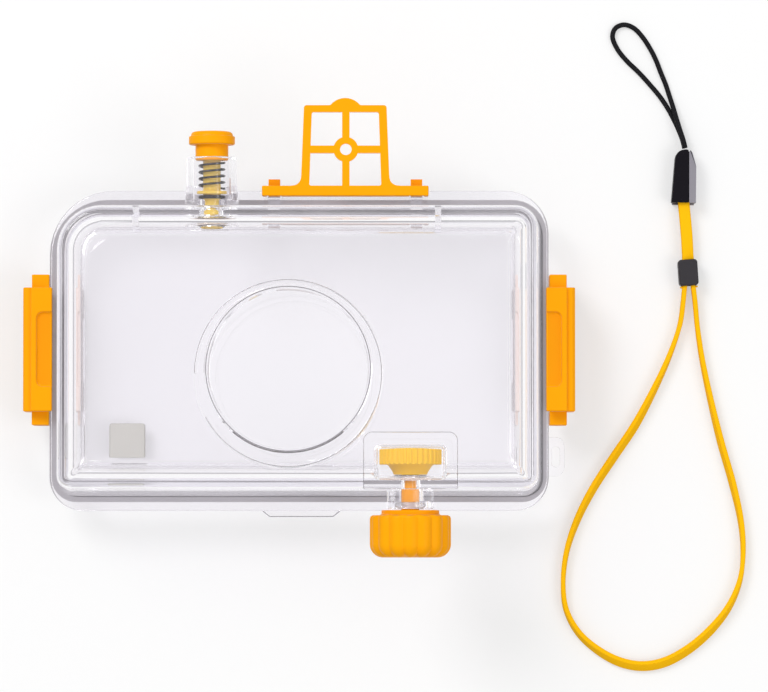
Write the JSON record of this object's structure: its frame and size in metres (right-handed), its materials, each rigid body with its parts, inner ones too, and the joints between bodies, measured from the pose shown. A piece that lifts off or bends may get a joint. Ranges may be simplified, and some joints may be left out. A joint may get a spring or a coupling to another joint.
{
  "type": "underwater camera housing",
  "caption": "Clear two-part underwater camera housing with lens port, side latches, sprung shutter button, advance knob, folding sports finder and a loose wrist strap.",
  "frame": {"origin": "middle of the flat back face of the rear cover, on the surface that the housing lies on", "axes": "+Z out of the back towards the lens port, +Y towards the housing's top with the shutter and the finder, +X towards its right side seen from the front"},
  "size_m": [0.1899, 0.1708, 0.0535],
  "materials": {
    "clear_plastic": "clear, polished",
    "orange_plastic": "satin moulded",
    "amber_plastic": "translucent, smooth",
    "grey_rubber": "matte",
    "black_rubber": "matte",
    "clear_silicone": "milky, translucent",
    "spring_steel": "bright drawn",
    "black_plastic": "satin moulded",
    "grey_plastic": "satin moulded",
    "pad_foam": "matte foam",
    "orange_webbing": "woven, matte",
    "black_cord": "braided, matte"
  },
  "bodies": {
    "rear_case": {"rear_cover": "clear_plastic", "main_seal": "grey_rubber", "camera_pad": "pad_foam", "latch_pin_left": "spring_steel", "latch_pin_right": "spring_steel", "strap_clasp": "black_plastic", "strap_clasp_insert": "grey_plastic", "strap_cord": "black_cord", "strap_twin": "orange_webbing", "strap_loop": "orange_webbing"},
    "front_case": {"front_shell": "clear_plastic", "port_window": "clear_plastic", "shutter_washer": "amber_plastic", "shutter_o_ring": "black_rubber", "shutter_spring": "spring_steel", "finder_block_left": "orange_plastic", "finder_block_right": "orange_plastic", "finder_pin": "spring_steel", "knob_o_ring": "clear_silicone"},
    "shutter": {"shutter_button": "orange_plastic", "shutter_stem": "amber_plastic", "shutter_foot": "amber_plastic"},
    "advance": {"advance_knob": "orange_plastic", "advance_shaft": "orange_plastic", "drive_wheel": "orange_plastic", "shaft_clip": "spring_steel"},
    "finder": {"finder_frame": "orange_plastic"},
    "left_latch": {"latch_left": "orange_plastic"},
    "right_latch": {"latch_right": "orange_plastic"},
    "slider": {"strap_slider": "black_plastic"}
  },
  "joints": [
    {"name": "front_lift", "type": "slide", "parent": "rear_case", "child": "front_case", "axis": [0, 0, 1], "range_m": [0, 0.015]},
    {"name": "left_latch_hinge", "type": "hinge", "parent": "rear_case", "child": "left_latch", "pos_m": [-0.06755, 0.0003, 0.0062], "axis": [0, -1, 0], "range_deg": [0, 100]},
    {"name": "right_latch_hinge", "type": "hinge", "parent": "rear_case", "child": "right_latch", "pos_m": [0.06755, 0.0003, 0.0062], "axis": [0, 1, 0], "range_deg": [0, 100]},
    {"name": "shutter_press", "type": "slide", "parent": "front_case", "child": "shutter", "axis": [0, -1, 0], "range_m": [0, 0.003], "stiffness_N_per_m": 250, "deforming": ["shutter_spring"]},
    {"name": "film_advance", "type": "hinge", "parent": "front_case", "child": "advance", "pos_m": [0.02885, -0.0414, 0.042], "axis": [0, 1, 0], "continuous": true},
    {"name": "finder_fold", "type": "hinge", "parent": "front_case", "child": "finder", "pos_m": [0.0121, 0.04075, 0.03], "axis": [-1, 0, 0], "range_deg": [0, 90]},
    {"name": "slider_slide", "type": "slide", "parent": "rear_case", "child": "slider", "axis": [-0.0651, 0.9979, 0], "range_m": [0, 0.009]}
  ],
  "couplings": [
    {"joint": "left_latch_hinge", "follows": "front_lift", "rad_per_m": 116.24},
    {"joint": "right_latch_hinge", "follows": "front_lift", "rad_per_m": 116.24}
  ]
}
